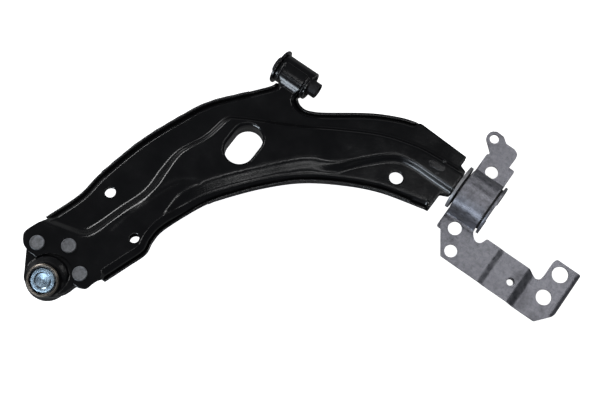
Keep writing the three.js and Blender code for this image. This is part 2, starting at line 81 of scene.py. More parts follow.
low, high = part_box("front_bush_sleeve")
HINGE = Matrix.Translation((low.x - SLEEVE_START * 0.001, (low.y + high.y) / 2, (low.z + high.z) / 2)) \
    @ Matrix.Scale(0.001, 4)
ARM = HINGE @ Matrix.Rotation(ARM_TILT, 4, "X")
JOINT = ARM @ Matrix.Translation(BALL_CENTRE) @ BALL_LEAN.to_track_quat("Z", "Y").to_matrix().to_4x4()
ALONG_X = Matrix.Rotation(math.pi / 2, 4, "Y")


# ---- small helpers --------------------------------------------------------------------------------

# Grids of points: row spacing of a triangular grid, and the room left beside guides and borders, all
# as a share of the step. Rows beside a line are dropped where they fold over nearer than FOLD_LIMIT.
ROW_PITCH = 0.87
GUIDE_ROOM = 0.7
BORDER_ROOM = 0.55
FOLD_LIMIT = 0.96


def unit(vectors):
    return vectors / np.maximum(np.linalg.norm(vectors, axis=-1, keepdims=True), 1e-9)


def smoothstep(t):
    t = np.clip(t, 0.0, 1.0)
    return t * t * (3 - 2 * t)


def spline(points, step=2.0):
    """Points along a Catmull-Rom curve through the given ones."""
    p = np.array(points, float)
    p = np.vstack([2 * p[0] - p[1], p, 2 * p[-1] - p[-2]])
    out = []
    for a, b, c, d in zip(p[:-3], p[1:-2], p[2:-1], p[3:]):
        count = max(2, int(np.linalg.norm(c - b) / step))
        t = np.linspace(0, 1, count, endpoint=False)[:, None]
        out.append(0.5 * (2 * b + (c - a) * t + (2 * a - 5 * b + 4 * c - d) * t**2
                          + (3 * b - a - 3 * c + d) * t**3))
    out.append(p[-2][None])
    return np.vstack(out)


def arc(x, y, radius, start, end, count=24):
    """Points on an arc; the angles are in degrees."""
    t = np.radians(np.linspace(start, end, count))
    return np.stack([x + radius * np.cos(t), y + radius * np.sin(t)], 1)


def even(points, step, closed=True):
    """The same curve with evenly spaced points."""
    p = np.vstack([points, points[:1]]) if closed else np.array(points, float)
    keep = np.r_[True, np.linalg.norm(np.diff(p, axis=0), axis=1) > 1e-6]
    p = p[keep]
    s = np.r_[0, np.cumsum(np.linalg.norm(np.diff(p, axis=0), axis=1))]
    count = max(8, int(round(s[-1] / step)))
    at = np.linspace(0, s[-1], count, endpoint=not closed)
    return np.stack([np.interp(at, s, p[:, i]) for i in range(p.shape[1])], 1)


def rounded(points, radius, closed=True, count=5):
    """A polygon whose corners are rounded by up to the given radius."""
    p = [np.array(q, float) for q in points]
    out = []
    n = len(p)
    for i, corner in enumerate(p):
        if not closed and i in (0, n - 1):
            out.append(corner)
            continue
        before, after = p[i - 1] - corner, p[(i + 1) % n] - corner
        lengths = np.linalg.norm(before), np.linalg.norm(after)
        before, after = before / lengths[0], after / lengths[1]
        angle = math.acos(max(-1.0, min(1.0, float(before @ after))))
        if angle > math.radians(176) or angle < 1e-3:
            out.append(corner)
            continue
        cut = min(radius / math.tan(angle / 2), 0.45 * lengths[0], 0.45 * lengths[1])
        start, end = corner + before * cut, corner + after * cut
        for t in np.linspace(0, 1, count):
            out.append((1 - t)**2 * start + 2 * t * (1 - t) * corner + t**2 * end)
    return np.array(out)


def area(points):
    x, y = points[:, 0], points[:, 1]
    return 0.5 * float(np.sum(x * np.roll(y, -1) - np.roll(x, -1) * y))


def distance_to(points, line, closed=True):
    """Distance of each point from a polyline."""
    a = line if closed else line[:-1]
    b = np.roll(line, -1, 0) if closed else line[1:]
    best = np.full(len(points), 1e9)
    for start, end in zip(a, b):
        side = end - start
        t = np.clip((points - start) @ side / max(side @ side, 1e-9), 0, 1)
        best = np.minimum(best, np.hypot(*(points - start - t[:, None] * side).T))
    return best


def inside(points, loop):
    """Whether each point is inside a closed polygon."""
    x, y = points[:, 0], points[:, 1]
    crossings = np.zeros(len(points), bool)
    for (x0, y0), (x1, y1) in zip(loop, np.roll(loop, -1, 0)):
        if y0 == y1:
            continue
        hit = ((y0 > y) != (y1 > y)) & (x < (x1 - x0) * (y - y0) / (y1 - y0) + x0)
        crossings ^= hit
    return crossings


def signed_distance(points, loop):
    """Distance from the loop, positive inside."""
    return distance_to(points, loop) * np.where(inside(points, loop), 1, -1)


def inward_normals(loop):
    """Unit normals in the plane, towards the left of the direction of travel."""
    ahead = np.roll(loop, -1, 0) - np.roll(loop, 1, 0)
    return unit(np.stack([-ahead[:, 1], ahead[:, 0]], 1))


def tree_of(points):
    tree = KDTree(len(points))
    for i, (x, y) in enumerate(points):
        tree.insert((x, y, 0), i)
    tree.balance()
    return tree


def rows_along(line, offsets, step=1.8):
    """Rows of points beside an open line, so that a slope along it has no ragged edge."""
    line = even(line, step, closed=False)
    normals = unit(np.stack([-np.gradient(line[:, 1]), np.gradient(line[:, 0])], 1))
    rows = [line]
    for offset in offsets:
        row = line + normals * offset
        rows.append(row[distance_to(row, line, closed=False) > FOLD_LIMIT * abs(offset)])
    return np.vstack(rows)


def spaced(points, gap):
    """Points thinned until no two are nearer than the gap."""
    tree = tree_of(points)
    kept = np.ones(len(points), bool)
    for i, (x, y) in enumerate(points):
        if kept[i]:
            for _, j, _ in tree.find_range((x, y, 0), gap):
                if j > i:
                    kept[j] = False
    return points[kept]


def triangulate(loops, step, guides=None):
    """Points and triangles of the area inside the first loop and outside the others. Guides are
    points that the grid makes room for."""
    lows, highs = loops[0].min(0), loops[0].max(0)
    rows = np.arange(lows[1], highs[1], step * ROW_PITCH)
    grid = np.array([(x + (step / 2 if j % 2 else 0), y) for j, y in enumerate(rows)
                     for x in np.arange(lows[0], highs[0], step)])
    if guides is not None:
        tree = tree_of(guides)
        grid = np.array([p for p in grid if tree.find((*p, 0))[2] > step * GUIDE_ROOM])
        grid = np.vstack([guides, grid])
    keep = inside(grid, loops[0])
    for i, loop in enumerate(loops):
        if i:
            keep &= ~inside(grid, loop)
        keep &= distance_to(grid, loop) > step * BORDER_ROOM
    points = np.vstack(loops + [grid[keep]])
    edges, start = [], 0
    for loop in loops:
        edges += [(start + i, start + (i + 1) % len(loop)) for i in range(len(loop))]
        start += len(loop)
    found = delaunay_2d_cdt([Vector(p) for p in points], edges, [], 0, 1e-6)
    flat = np.array([tuple(v) for v in found[0]])
    triangles = np.array([tuple(f) for f in found[2] if len(f) == 3])
    middle = flat[triangles].mean(1)
    good = inside(middle, loops[0])
    for loop in loops[1:]:
        good &= ~inside(middle, loop)
    return flat, triangles[good]


def new_object(name, verts, faces, matrix=Matrix.Identity(4), merge=0.004):
    """A mesh object from millimetre points, moved by matrix into the row frame."""
    mesh = bpy.data.meshes.new(name)
    mesh.from_pydata([tuple(map(float, v)) for v in verts], [], [tuple(map(int, f)) for f in faces])
    work = bmesh.new()
    work.from_mesh(mesh)
    if merge:
        bmesh.ops.remove_doubles(work, verts=work.verts, dist=merge)
    bmesh.ops.dissolve_degenerate(work, edges=work.edges, dist=1e-4)
    bmesh.ops.recalc_face_normals(work, faces=work.faces)
    work.to_mesh(mesh)
    work.free()
    mesh.transform(matrix)
    mesh.shade_smooth()
    obj = bpy.data.objects.new(name, mesh)
    bpy.context.scene.collection.objects.link(obj)
    return obj


def apply_modifiers(obj):
    bpy.context.view_layer.update()
    graph = bpy.context.evaluated_depsgraph_get()
    done = bpy.data.meshes.new_from_object(obj.evaluated_get(graph))
    obj.modifiers.clear()
    obj.data = done
    return obj


def sharp_by_angle(obj, degrees=40):
    obj.data.shade_smooth()
    obj.data.set_sharp_from_angle(angle=math.radians(degrees))
    return obj


def bevelled(obj, width=0.5, segments=3, degrees=35):
    """Rounds the object's edges; width is in millimetres."""
    mod = obj.modifiers.new("edge", "BEVEL")
    mod.width = width * 0.001
    mod.segments = segments
    mod.limit_method = "ANGLE"
    mod.angle_limit = math.radians(degrees)
    apply_modifiers(obj)
    return sharp_by_angle(obj)


def settle(obj, body, slot, material, *nodes):
    """Gives a finished piece its material and its body, and hides the CAD nodes that it stands for."""
    obj.data.materials.clear()
    obj.data.materials.append(material)
    if nodes:
        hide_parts(*nodes)
    if body:
        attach(obj, body)
    return obj


def lathe(name, profile, matrix, corner=0.4, segments=96):
    """A closed profile of (radius, height) pairs turned about Z, with its corners rounded."""
    section = rounded(profile, corner)
    on_axis = section[:, 0] < 1e-3
    n = len(section)
    verts, faces = [], []
    for k in range(segments):
        turn = 2 * math.pi * k / segments
        verts += [(r * math.cos(turn), r * math.sin(turn), z) for r, z in section]
    for k in range(segments):
        m = (k + 1) % segments
        for i in range(n):
            j = (i + 1) % n
            if on_axis[i] and on_axis[j]:
                continue
            faces.append((k * n + i, k * n + j, m * n + j, m * n + i))
    obj = new_object(name, verts, faces, matrix)
    return sharp_by_angle(obj, 45)


def walled(name, first, second, triangles, matrix):
    """Two faces with the same triangles, joined by walls along their borders."""
    n = len(first)
    work = bmesh.new()
    for v in np.vstack([first, second]):
        work.verts.new(v)
    work.verts.ensure_lookup_table()
    work.verts.index_update()
    for t in triangles:
        work.faces.new([work.verts[i] for i in t])
        work.faces.new([work.verts[i + n] for i in t[::-1]])
    border = [tuple(v.index for v in e.verts) for e in work.edges if len(e.link_faces) == 1]
    for a, b in border:
        if a < n and b < n:
            work.faces.new([work.verts[i] for i in (a, b, b + n, a + n)])
    bmesh.ops.recalc_face_normals(work, faces=work.faces)
    mesh = bpy.data.meshes.new(name)
    work.to_mesh(mesh)
    work.free()
    mesh.transform(matrix)
    obj = bpy.data.objects.new(name, mesh)
    bpy.context.scene.collection.objects.link(obj)
    return obj


def prism(name, loops, low_z, high_z, matrix, bevel=0.5, step=6.0):
    """A plate with holes between two heights, its edges rounded."""
    flat, triangles = triangulate(loops, step)
    low, high = (np.c_[flat, np.full(len(flat), z)] for z in (low_z, high_z))
    return bevelled(walled(name, low, high, triangles, matrix), bevel)


def tube(name, path, radius, matrix, ripple=0.0, pitch=2.0, sides=12):
    """A round bead along a path of 3-D points, with the ripples of a weld."""
    p = even(np.array(path, float), 0.5, closed=False)
    ahead = unit(np.gradient(p, axis=0))
    side = unit(np.cross(ahead, (0, 0, 1)))
    up = np.cross(side, ahead)
    s = np.arange(len(p)) * 0.5
    end = np.minimum(1, np.sqrt(np.clip(np.minimum(s, s[-1] - s) / radius, 0.02, 1)))
    r = radius * end * (1 + ripple * (np.abs(np.sin(math.pi * s / pitch)) - 0.5)
                        + 0.5 * ripple * np.sin(0.37 * s + 1.3) * np.sin(0.11 * s))
    verts, faces = [], []
    for i in range(len(p)):
        for k in range(sides):
            t = 2 * math.pi * k / sides
            verts.append(p[i] + r[i] * (math.cos(t) * side[i] + math.sin(t) * up[i]))
    for i in range(len(p) - 1):
        for k in range(sides):
            m = (k + 1) % sides
            faces.append((i * sides + k, i * sides + m, (i + 1) * sides + m, (i + 1) * sides + k))
    faces.append(tuple(range(sides)))
    faces.append(tuple((len(p) - 1) * sides + k for k in range(sides)))
    return new_object(name, verts, faces, matrix, merge=0)


def softened(name, node, voxel=0.7, rounds=6):
    """A copy of a CAD node with forged, rounded edges; voxel is in millimetres."""
    obj = bpy.data.objects.new(name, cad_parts[node].data.copy())
    bpy.context.scene.collection.objects.link(obj)
    obj.data.materials.clear()
    mod = obj.modifiers.new("voxels", "REMESH")
    mod.mode = "VOXEL"
    mod.voxel_size = voxel * 0.001
    mod.use_smooth_shade = True
    smooth = obj.modifiers.new("smooth", "SMOOTH")
    smooth.factor = 0.5
    smooth.iterations = rounds
    apply_modifiers(obj)
    obj.data.shade_smooth()
    return obj


# ---- materials ------------------------------------------------------------------------------------

class Nodes:
    """A material's node tree with short calls to add and join nodes."""

    def __init__(self, name):
        self.material = bpy.data.materials.new(name)
        self.material.use_nodes = True
        self.tree = self.material.node_tree
        self.shader = self.tree.nodes["Principled BSDF"]
        self.place = self.tree.nodes.new("ShaderNodeTexCoord").outputs["Object"]

    def join(self, source, target):
        self.tree.links.new(source, target)

    def noise(self, scale, detail=3.0, roughness=0.5, distortion=0.0):
        node = self.tree.nodes.new("ShaderNodeTexNoise")
        node.inputs["Scale"].default_value = scale
        node.inputs["Detail"].default_value = detail
        node.inputs["Roughness"].default_value = roughness
        node.inputs["Distortion"].default_value = distortion
        self.join(self.place, node.inputs["Vector"])
        return node.outputs["Fac"]

    def ramp(self, source, low_at, low_value, high_at, high_value):
        node = self.tree.nodes.new("ShaderNodeMapRange")
        for key, value in (("From Min", low_at), ("From Max", high_at),
                           ("To Min", low_value), ("To Max", high_value)):
            node.inputs[key].default_value = value
        self.join(source, node.inputs["Value"])
        return node.outputs["Result"]

    def edge(self, low_at, high_at):
        node = self.tree.nodes.new("ShaderNodeNewGeometry")
        return self.ramp(node.outputs["Pointiness"], low_at, 0.0, high_at, 1.0)

    def math(self, operation, a, b):
        node = self.tree.nodes.new("ShaderNodeMath")
        node.operation = operation
        for socket, value in zip(node.inputs, (a, b)):
            if isinstance(value, float):
                socket.default_value = value
            else:
                self.join(value, socket)
        return node.outputs[0]

    def mix(self, factor, a, b):
        node = self.tree.nodes.new("ShaderNodeMix")
        node.data_type = "RGBA"
        self.join(factor, node.inputs["Factor"])
        for key, value in ((6, a), (7, b)):
            if isinstance(value, tuple):
                node.inputs[key].default_value = (*value, 1.0)
            else:
                self.join(value, node.inputs[key])
        return node.outputs[2]

    def bump(self, height, strength, distance, before=None):
        node = self.tree.nodes.new("ShaderNodeBump")
        node.inputs["Strength"].default_value = strength
        node.inputs["Distance"].default_value = distance
        self.join(height, node.inputs["Height"])
        if before is not None:
            self.join(before, node.inputs["Normal"])
        return node.outputs["Normal"]

    def finish(self, colour, roughness, normal=None, metallic=0.0, specular=0.5, coat=0.0,
               coat_roughness=0.1):
        self.join(colour, self.shader.inputs["Base Color"])
        self.join(roughness, self.shader.inputs["Roughness"])
        self.shader.inputs["Metallic"].default_value = metallic
        self.shader.inputs["Specular IOR Level"].default_value = specular
        self.shader.inputs["Coat Weight"].default_value = coat
        self.shader.inputs["Coat Roughness"].default_value = coat_roughness
        if normal is not None:
            self.join(normal, self.shader.inputs["Normal"])
        return self.material


def black_coat(name, base, rough, specks, bump, specular=0.5):
    """Dipped black paint: orange peel, faint cloudy gloss, dust specks and thin paint on edges."""
    n = Nodes(name)
    cloud = n.noise(38, 4, 0.6)
    peel = n.noise(900, 2, 0.5)
    grain = n.noise(2600, 2, 0.6)
    dust = n.ramp(n.noise(1500, 1, 0.4), specks, 0.0, specks + 0.05, 1.0)
    worn = n.math("MULTIPLY", n.edge(0.66, 0.80), n.ramp(n.noise(220, 4, 0.7), 0.45, 0.0, 0.7, 0.5))
    tint = n.mix(n.ramp(cloud, 0.3, 0.0, 0.7, 1.0), base, tuple(1.5 * c for c in base))
    tint = n.mix(dust, tint, (0.05, 0.05, 0.055))
    tint = n.mix(worn, tint, (0.10, 0.10, 0.11))
    gloss = n.ramp(cloud, 0.3, rough - 0.05, 0.7, rough + 0.07)
    normal = n.bump(cloud, 0.12, 0.002)
    normal = n.bump(peel, 0.10 * bump, 0.0006, normal)
    normal = n.bump(grain, 0.05 * bump, 0.0003, normal)
    return n.finish(tint, gloss, normal, specular=specular)


def metal(name, dark, bright, rough, scale, bump=1.0, metallic=0.9, stain=0.0):
    """Bare or plated steel with mottled tone, grain and stains."""
    n = Nodes(name)
    mottle = n.noise(scale, 5, 0.65, 0.4)
    grain = n.noise(scale * 9, 3, 0.6)
    tone = n.ramp(n.math("ADD", n.math("MULTIPLY", mottle, 0.7), n.math("MULTIPLY", grain, 0.3)),
                  0.32, 0.0, 0.68, 1.0)
    colour = n.mix(tone, dark, bright)
    if stain:
        patch = n.ramp(n.noise(34, 4, 0.6, 0.6), 0.54, 0.0, 0.72, stain)
        colour = n.mix(patch, colour, tuple(0.35 * c for c in dark))
    gloss = n.ramp(mottle, 0.3, rough - 0.07, 0.7, rough + 0.1)
    normal = n.bump(grain, 0.18 * bump, 0.0004)
    return n.finish(colour, gloss, normal, metallic=metallic)


def rubber_look(name, base, rough):
    n = Nodes(name)
    skin = n.noise(1400, 3, 0.6)
    bloom = n.noise(60, 4, 0.6)
    colour = n.mix(n.ramp(bloom, 0.35, 0.0, 0.7, 1.0), base, tuple(2.2 * c for c in base))
    return n.finish(colour, n.ramp(skin, 0.3, rough - 0.06, 0.7, rough + 0.06),
                    n.bump(skin, 0.25, 0.0004), specular=0.4)


COAT = black_coat("black_coat", (0.0035, 0.0035, 0.004), 0.18, 0.82, 0.8)
WELD = black_coat("black_weld", (0.008, 0.008, 0.009), 0.24, 0.74, 3.0)
HOUSING = black_coat("black_housing", (0.0045, 0.0045, 0.005), 0.20, 0.84, 1.2)
RIVET = metal("rivet_steel", (0.07, 0.07, 0.075), (0.30, 0.31, 0.33), 0.50, 300, 1.6, 0.6)
ZINC = metal("zinc_plate", (0.17, 0.24, 0.31), (0.33, 0.42, 0.50), 0.24, 150, 0.6, 1.0)
RIM = metal("bare_rim", (0.13, 0.11, 0.09), (0.28, 0.25, 0.22), 0.30, 260, 0.8, 0.95)
SEAT = metal("seat_polymer", (0.70, 0.68, 0.60), (0.78, 0.76, 0.69), 0.45, 200, 0.4, 0.0)
STUD = metal("stud_steel", (0.33, 0.33, 0.34), (0.55, 0.55, 0.57), 0.28, 300, 0.8, 1.0)
RUBBER = rubber_look("rubber", (0.009, 0.009, 0.009), 0.55)
RING = metal("ring_steel", (0.38, 0.38, 0.39), (0.6, 0.6, 0.62), 0.25, 300, 0.6, 1.0)
SLEEVE = metal("sleeve_steel", (0.012, 0.012, 0.014), (0.04, 0.04, 0.044), 0.42, 350, 1.2, 0.6)
DISC = metal("disc_steel", (0.20, 0.20, 0.21), (0.36, 0.36, 0.37), 0.42, 300, 1.0, 0.7)
PHOSPHATE = metal("phosphated_steel", (0.10, 0.10, 0.115), (0.34, 0.34, 0.375), 0.34, 240, 1.5, 0.85,
                  0.7)


# ---- outlines of the pressings, in the arm's plane -------------------------------------------------

LEFT_RUN = [[-8.5, -17], [-10.4, -23.5], [-24, -41], [-50, -73.5], [-64.5, -104], [-80.5, -148],
            [-91, -197], [-94, -227], [-106.5, -265.5]]
NOSE_LEFT = [[-103.8, -270.8], [-109, -286.5], [-107, -293], [-101.5, -298.5], [-93.5, NOSE_END]]
NOSE_RIGHT = [[-33.5, NOSE_END], [-27, -297.5], [-25, -290.5], [-23, -285], [-19.5, -280.5]]
RIGHT_RUN = [[-19.5, -280.5], [-11, -256], [-4.5, -236], [-6.5, -222], [-5, -205], [9, -168],
             [20, -150], [45, -118], [73, -90], [106, -68.3], [142, -51.5], [190.3, -39]]
REAR_END = [[190.3, -39], [190.6, -18], [198.8, -14], [198.8, 15], [191.1, 18], [191.1, 28.5],
            [131.7, 31.5]]
TOP_RUN = [[131.7, 31.5], [113.8, 25.5], [86.8, 11.3], [50, -15], [38, -22], [31, -24], [24, -22.5],
           [17, -17]]
TONGUE_END = [[17, -17], [17, 2.2], [-8.5, 2.2], [-8.5, -17]]
RECESS_CORNER = [[-118, -264], [-66, -250], [-61, -236]]
UPPER_FOOT = [[-61, -236], [-54, -212], [-46, -186],
              [-46, -159], [-43.5, -134], [-31.6, -106], [-26.5, -80], [-15.5, -69.4], [37.6, -41],
              [72, -20], [107, -1], [137, 9], [160, 13], [212, 15.5]]
LOWER_FOOT = [[212, -14.5], [180, -14.5], [152, -14.5], [134, -20], [111.5, -42], [92, -66],
              [68.7, -84], [39, -117.6], [17, -145], [4, -168], [-6, -203], [0, -225]]


def upper_foot():
    """The foot of the raised panel's upper side, from the nose's left edge to the rear."""
    return np.vstack([rounded(RECESS_CORNER, 8, closed=False)[:-1], spline(UPPER_FOOT)])


def raised_outline():
    nose = np.array([[-1, -312], [-118, -312]])
    return np.vstack([upper_foot(), spline(LOWER_FOOT), nose])


def trough_outline():
    return np.vstack([spline(UPPER_FOOT[2:]), spline(LOWER_FOOT[:-2])])


def cutout_chord():
    x, y, radius = CUTOUT
    chord = math.degrees(math.asin((NOSE_END - y) / radius))
    return arc(x, y, radius, 180 - chord, chord, 30)


def window_loop(step=1.2):
    x, y, half, reach = 6.5, -92.8, 15.0, 6.75
    return even(np.vstack([arc(x, y + reach, half, 0, 180), arc(x, y - reach, half, 180, 360)]), step)


def flagged(runs, step):
    """One closed outline from runs of (points, flanged), evenly spaced, with a smooth 0..1 flag that
    says where the edge is flanged."""
    xy = np.vstack([points for points, _ in runs])
    flags = np.concatenate([np.full(len(points), float(on)) for points, on in runs])
    line = even(np.c_[xy, flags * 1e-4], step)
    loop, flags = line[:, :2], line[:, 2] * 1e4
    for _ in range(12):
        flags = (np.roll(flags, 1) + 2 * flags + np.roll(flags, -1)) / 4
    flags = smoothstep(flags)
    if area(loop) < 0:
        loop, flags = loop[::-1], flags[::-1]
    return loop, flags


def softened_normals(loop, rounds):
    normals = inward_normals(loop)
    for _ in range(rounds):
        normals = unit(np.roll(normals, 1, 0) + 2 * normals + np.roll(normals, -1, 0))
    return normals


class Edge:
    """A border of a pressing: an outline or a hole, with its roll radius and the depth of its wall."""

    def __init__(self, loop, flag, inset, radius, bottom, hole=False):
        if (area(loop) < 0) != hole:
            loop, flag = loop[::-1], flag[::-1]
        self.loop, self.flag, self.hole = loop, flag, hole
        self.inset, self.radius, self.bottom = inset, radius, bottom
        self.normal = softened_normals(loop, 2)

    def ring(self, offset):
        return self.loop + self.normal * np.asarray(offset)[:, None]


ROUND_ROLL = [(math.sin(a), 1 - math.cos(a)) for a in np.linspace(0, math.pi / 2, 7)]
SLOPED_ROLL = [(0, 0), (0.1, 0.01), (0.2, 0.05), (0.3, 0.13), (0.42, 0.24), (0.72, 0.55), (0.84, 0.68),
               (0.93, 0.80), (0.98, 0.9), (1, 1)]


def stamped(name, edges, height, matrix, step=2.0, flip=False, profile=ROUND_ROLL, guides=None):
    """A pressed sheet: height(points) gives its outer face, and each edge rolls down to its wall.
    It has a matching inner face one sheet thickness below."""
    verts, faces = [], []

    def add_band(a, b, turned_over):
        start, n = len(verts), len(a)
        verts.extend(a)
        verts.extend(b)
        for i in range(n):
            j = (i + 1) % n
            quad = (start + i, start + j, start + n + j, start + n + i)
            faces.append(quad[::-1] if turned_over else quad)

    tops, unders = [], []
    for e in edges:
        inner_xy = e.ring(e.inset + e.radius)
        level = height(inner_xy)
        rings = [np.c_[e.ring(e.inset + e.radius * (1 - out)), level - e.radius * down]
                 for out, down in profile]
        bottom = e.flag * e.bottom + (1 - e.flag) * (level - SHEET)
        wall = e.ring(e.inset)
        depth = np.minimum(bottom + 0.35, level - e.radius - 0.05)
        rings.append(np.c_[wall, depth])
        rings.append(np.c_[e.ring(e.inset + 0.35), depth - 0.35])
        thick = SHEET * e.flag
        back_radius = np.maximum(e.radius - SHEET, 0.15)
        back_level = level - SHEET
        back_bottom = np.minimum(depth - 0.35, back_level - back_radius - 0.02)
        rings.append(np.c_[e.ring(e.inset + np.maximum(thick - 0.35, 0.45)), back_bottom])
        back_inset = e.inset + np.maximum(thick, 0.5)
        rings += [np.c_[e.ring(back_inset + back_radius * (1 - math.sin(a))),
                        back_level - back_radius * (1 - math.cos(a))]
                  for a in np.linspace(math.pi / 2, 0, 6)]
        for a, b in zip(rings[:-1], rings[1:]):
            add_band(a, b, e.hole)
        tops.append(inner_xy)
        unders.append(e.ring(back_inset + back_radius))
    for loops, drop, turned_over in ((tops, 0.0, False), (unders, SHEET, True)):
        flat, triangles = triangulate(loops, step, guides)
        start = len(verts)
        level = height(flat) - drop
        verts.extend(np.c_[flat, level])
        faces.extend(tuple(start + t[::-1]) if turned_over else tuple(start + t) for t in triangles)
    verts = np.array(verts)
    if flip:
        verts = verts * (1, 1, -1)
    return new_object(name, verts, faces, matrix, merge=0.02)


def blend_up(a, b, soft):
    """Smooth maximum of two heights."""
    h = np.clip(0.5 + 0.5 * (b - a) / soft, 0, 1)
    return a + (b - a) * h + soft * h * (1 - h)


def tube_height(points, reach):
    """Height of the sheet wrapped over the eye, whose axis is the X axis."""
    y = np.clip(points[:, 1], -reach, reach)
    fall = 2.9 * np.maximum(np.abs(points[:, 1]) - reach, 0)
    return np.where(points[:, 0] < NECK_EDGE, np.sqrt(EYE_WRAP**2 - y**2) - fall, -50.0)


CREASE = [[-46, -238], [-41, -213], [-34, -191], [-28, -174], [-20, -160], [-6, -150]]
CREASE_DEPTH = 0.9
DENT = (94.7, -35.2)
DENT_DEPTH = 0.35
TUBE_REACH = 17.2


def main_height():
    """Height of the main pressing's outer face, as a function of points in the arm's plane."""
    raised = raised_outline()
    upper, lower, crease = upper_foot(), spline(LOWER_FOOT), spline(CREASE)

    def height(points):
        x, y = points.T
        flank = 6.5 + 10.5 * (1 - smoothstep((x - 70) / 35)) * smoothstep((y + 205) / 40)
        wall = 7.5 + 5.5 * smoothstep((-120 - y) / 60)
        risen = smoothstep(distance_to(points, upper, closed=False) / wall) \
            * smoothstep(distance_to(points, lower, closed=False) / flank)
        z = FLAT_TOP + (RIDGE_TOP - FLAT_TOP) * risen * inside(points, raised)
        z -= CREASE_DEPTH * np.exp(-(distance_to(points, crease, closed=False) / 3.0)**2)
        z -= DENT_DEPTH * np.exp(-(np.hypot(x - DENT[0], y - DENT[1]) / 1.5)**2)
        return blend_up(z, tube_height(points, TUBE_REACH), 5.0)
    return height


SLOPE_ROWS = [side * 1.5 * i for i in range(1, 10) for side in (1, -1)]
RIVET_HOLE = 4.3


def round_holes(holes, grow=0.0):
    """Edges of plain round holes, given as (x, y, radius)."""
    edges = []
    for x, y, radius in holes:
        ring = even(arc(x, y, radius + grow, 0, 360, 60)[:-1], 0.9)
        none = np.zeros(len(ring))
        edges.append(Edge(ring, none, none, none + 0.5, 0.0, hole=True))
    return edges


def main_shell():
    loop, flag = flagged([
        (spline(LEFT_RUN, 1), 1), (spline(NOSE_LEFT, 1), 0), (cutout_chord(), 0),
        (spline(NOSE_RIGHT, 1), 0), (spline(RIGHT_RUN, 1), 1),
        (rounded(REAR_END, 1.0, closed=False), 0), (spline(TOP_RUN, 1), 1),
        (np.array(TONGUE_END), 0)], 1.3)
    height = main_height()
    edges = [Edge(loop, flag, 0.05 + SEAM_INSET * flag, 0.5 + 5.8 * flag, 0.4)]
    window = window_loop()
    edges.append(Edge(window, np.ones(len(window)), np.zeros(len(window)), np.full(len(window), 2.6),
                      CLOSING_BOTTOM - 5, hole=True))
    edges += round_holes(ARM_HOLES + tuple((x, y, RIVET_HOLE) for x, y in RIVETS))
    guides = np.vstack([rows_along(line, SLOPE_ROWS) for line in (upper_foot(), spline(LOWER_FOOT))])
    return stamped("main_shell_pressing", edges, height, ARM, profile=SLOPED_ROLL,
                   guides=spaced(guides, 0.8))


def closing_shell():
    left, right = spline(LEFT_RUN, 1), spline(RIGHT_RUN, 1)
    left = left[left[:, 1] > -264]
    right = right[right[:, 1] > -281.5]
    nose = np.array([[-62, -264], [-42, -281]])
    tongue = np.array([[17, -17], [17, -5.8], [-8.5, -5.8], [-8.5, -17]])
    loop, flag = flagged([(left, 1), (nose, 0), (right, 1), (rounded(REAR_END, 1.0, closed=False), 0),
                          (spline(TOP_RUN, 1), 1), (tongue, 0)], 1.3)
    trough = trough_outline()

    def height(points):
        rise = smoothstep(signed_distance(points, trough) / 8.0)
        z = -CLOSING_BOTTOM + (CLOSING_BOTTOM - TROUGH_BOTTOM) * rise
        return blend_up(z, tube_height(points, TUBE_REACH), 4.0)

    edges = [Edge(loop, flag, 0.03 + 0 * flag, 0.5 + 3.6 * flag, -SEAM_HEIGHT)]
    window = window_loop()
    grown = Edge(window, np.ones(len(window)), 0, 0, 0, hole=True).ring(np.full(len(window), SHEET + 0.4))
    none = np.zeros(len(grown))
    edges.append(Edge(grown, none, none, none + 0.5, 0.0, hole=True))
    edges += round_holes(ARM_HOLES, 1)
    return stamped("closing_shell_pressing", edges, height, ARM, step=2.6, flip=True)


settle(main_shell(), "arm", "coated_steel", COAT, "main_shell")
settle(closing_shell(), "arm", "coated_steel", COAT, "closing_shell")

# ---- welds ------------------------------------------------------------------------------------------

LOWER_SEAM = [[12.5, -161], [21, -147.2], [44.2, -117], [72.2, -88.3], [105.3, -66.8], [141.5, -49.9],
              [172, -42]]
BEAD_RADIUS = 1.35
UPPER_SEAM = [[-89.5, -197], [-79, -148.4], [-63.2, -104.7], [-48.9, -74.7], [-23, -42.2]]


def seam(points):
    line = spline(points, 3)
    return np.c_[line, np.full(len(line), SEAM_HEIGHT + 1.2)]


def around_eye(x, start, end, radius, count=30):
    t = np.radians(np.linspace(start, end, count))
    return np.c_[np.full(count, x), radius * np.cos(t), radius * np.sin(t)]


for node, path in (("lower_seam_weld", seam(LOWER_SEAM)), ("upper_seam_weld", seam(UPPER_SEAM)),
                   ("front_eye_weld_1", around_eye(-9.7, 84, 160, 16.2)),
                   ("front_eye_weld_2", around_eye(18.4, 84, 160, 16.2))):
    settle(tube(node + "_bead", path, BEAD_RADIUS, ARM, ripple=0.22), "arm", "coated_weld", WELD, node)

settle(softened("rear_pin_weld_bead", "rear_pin_weld", 0.5, 4), "arm", "coated_weld", WELD,
       "rear_pin_weld")

# Drops of weld by the rear pin: (x, y, z, radius) in the arm's plane.
WELD_DROPS = ((176.5, 8.5, 14.0, 2.2), (168.5, -2.0, 14.0, 2.0), (177.5, -6.0, 14.0, 2.2),
              (191.5, -14.6, 4.6, 2.6), (196.2, -13.2, 4.2, 2.2))
for index, (x, y, z, radius) in enumerate(WELD_DROPS):
    dome = [(0, -0.8), (radius, -0.8)] + [(radius * math.cos(t), 0.6 * radius * math.sin(t))
                                          for t in np.linspace(0.1, math.pi / 2, 7)]
    dome[-1] = (0, 0.6 * radius)
    settle(lathe(f"weld_knob_{index + 1}", dome, ARM @ Matrix.Translation((x, y, z)), 0.1, 24), "arm",
           "coated_weld", WELD)

# ---- eye, front bush and pin -------------------------------------------------------------------------

